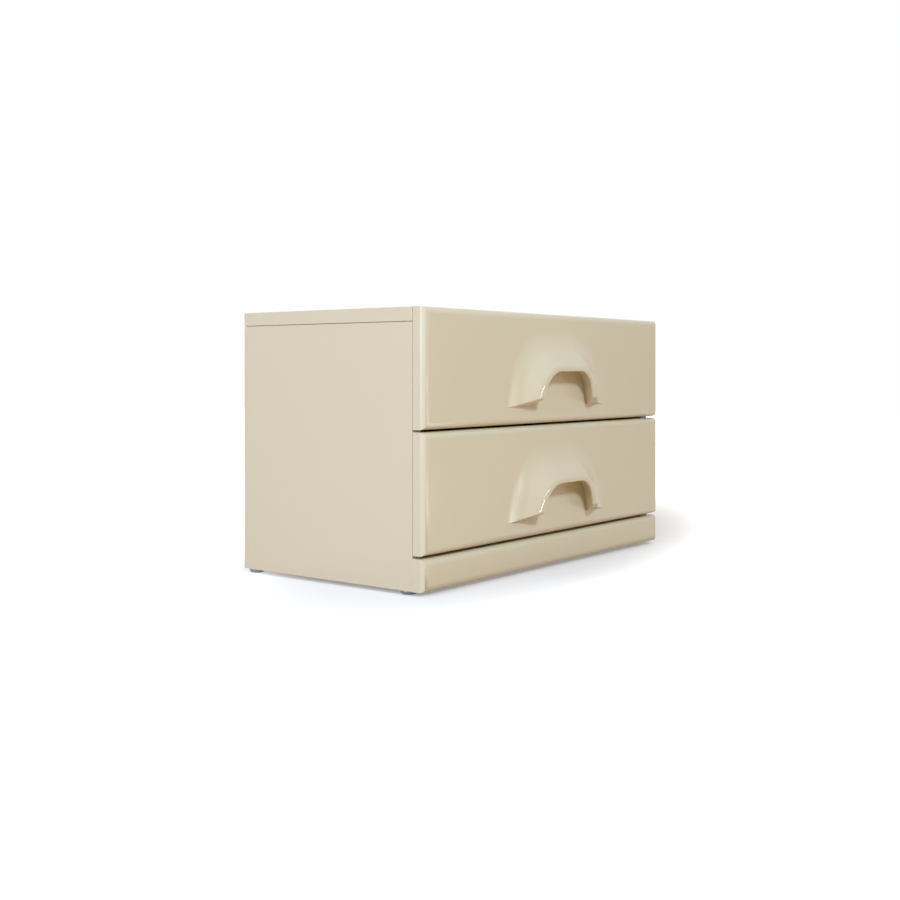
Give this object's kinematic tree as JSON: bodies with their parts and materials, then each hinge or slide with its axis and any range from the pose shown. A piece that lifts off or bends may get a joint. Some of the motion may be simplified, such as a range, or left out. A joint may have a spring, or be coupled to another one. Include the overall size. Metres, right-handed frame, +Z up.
{
  "type": "chest of drawers",
  "caption": "Low lacquered chest of wide drawers with moulded hood handles, roller runners, a plinth front and domed steel glides.",
  "frame": {"origin": "on the floor, under the middle of the chest's box with its handles", "axes": "+X to the right along the fronts, +Y from the fronts to the back, +Z up"},
  "size_m": [0.6, 0.3494, 0.36],
  "materials": {
    "cream_lacquer": "cream satin lacquer on board",
    "birch_plywood": "clear lacquered plywood",
    "hardboard": "bare hardboard",
    "beech": "bare beech",
    "runner_steel": "cream powder coat",
    "nylon": "moulded nylon",
    "zinc_screws": "zinc plated",
    "chromed_steel": "polished plating"
  },
  "bodies": {
    "cabinet": {"side_panel_left": "cream_lacquer", "side_panel_right": "cream_lacquer", "top_panel": "cream_lacquer", "bottom_panel": "cream_lacquer", "back_panel": "hardboard", "back_panel_screws": "zinc_screws", "carcass_dowels": "beech", "plinth": "cream_lacquer", "plinth_blocks": "beech", "glide_front_left": "chromed_steel", "glide_front_right": "chromed_steel", "glide_back_left": "chromed_steel", "glide_back_right": "chromed_steel", "glide_nails": "zinc_screws", "runner_screws_cabinet": "zinc_screws", "roller_rivets_front": "zinc_screws", "runner_cabinet_lower_left": "runner_steel", "runner_cabinet_lower_right": "runner_steel", "runner_cabinet_upper_left": "runner_steel", "runner_cabinet_upper_right": "runner_steel"},
    "drawer_lower": {"drawer_front_lower": "cream_lacquer", "drawer_inner_front_lower": "birch_plywood", "drawer_back_lower": "birch_plywood", "drawer_bottom_lower": "birch_plywood", "drawer_side_lower_left": "birch_plywood", "drawer_side_lower_right": "birch_plywood", "runner_drawer_lower_left": "runner_steel", "runner_drawer_lower_right": "runner_steel", "drawer_front_screws_lower": "zinc_screws", "runner_screws_drawer_lower": "zinc_screws", "roller_rivets_rear_lower": "zinc_screws"},
    "front_rollers_lower": {"roller_front_lower_left": "nylon", "roller_front_lower_right": "nylon"},
    "rear_rollers_lower": {"roller_rear_lower_left": "nylon", "roller_rear_lower_right": "nylon"},
    "drawer_upper": {"drawer_front_upper": "cream_lacquer", "drawer_inner_front_upper": "birch_plywood", "drawer_back_upper": "birch_plywood", "drawer_bottom_upper": "birch_plywood", "drawer_side_upper_left": "birch_plywood", "drawer_side_upper_right": "birch_plywood", "runner_drawer_upper_left": "runner_steel", "runner_drawer_upper_right": "runner_steel", "drawer_front_screws_upper": "zinc_screws", "runner_screws_drawer_upper": "zinc_screws", "roller_rivets_rear_upper": "zinc_screws"},
    "front_rollers_upper": {"roller_front_upper_left": "nylon", "roller_front_upper_right": "nylon"},
    "rear_rollers_upper": {"roller_rear_upper_left": "nylon", "roller_rear_upper_right": "nylon"}
  },
  "joints": [
    {"name": "drawer_lower_slide", "type": "slide", "parent": "cabinet", "child": "drawer_lower", "axis": [0, -1, 0], "range_m": [0, 0.19]},
    {"name": "front_rollers_lower_turn", "type": "hinge", "parent": "cabinet", "child": "front_rollers_lower", "pos_m": [0, -0.11385, 0.0765], "axis": [1, 0, 0], "range_deg": [0, 1365]},
    {"name": "rear_rollers_lower_turn", "type": "hinge", "parent": "drawer_lower", "child": "rear_rollers_lower", "pos_m": [0, 0.11075, 0.0743], "axis": [1, 0, 0], "range_deg": [0, 1365]},
    {"name": "drawer_upper_slide", "type": "slide", "parent": "cabinet", "child": "drawer_upper", "axis": [0, -1, 0], "range_m": [0, 0.19]},
    {"name": "front_rollers_upper_turn", "type": "hinge", "parent": "cabinet", "child": "front_rollers_upper", "pos_m": [0, -0.11385, 0.233], "axis": [1, 0, 0], "range_deg": [0, 1365]},
    {"name": "rear_rollers_upper_turn", "type": "hinge", "parent": "drawer_upper", "child": "rear_rollers_upper", "pos_m": [0, 0.11075, 0.2308], "axis": [1, 0, 0], "range_deg": [0, 1365]}
  ],
  "couplings": [
    {"joint": "front_rollers_lower_turn", "follows": "drawer_lower_slide", "rad_per_m": 125},
    {"joint": "rear_rollers_lower_turn", "follows": "drawer_lower_slide", "rad_per_m": 125},
    {"joint": "front_rollers_upper_turn", "follows": "drawer_upper_slide", "rad_per_m": 125},
    {"joint": "rear_rollers_upper_turn", "follows": "drawer_upper_slide", "rad_per_m": 125}
  ]
}
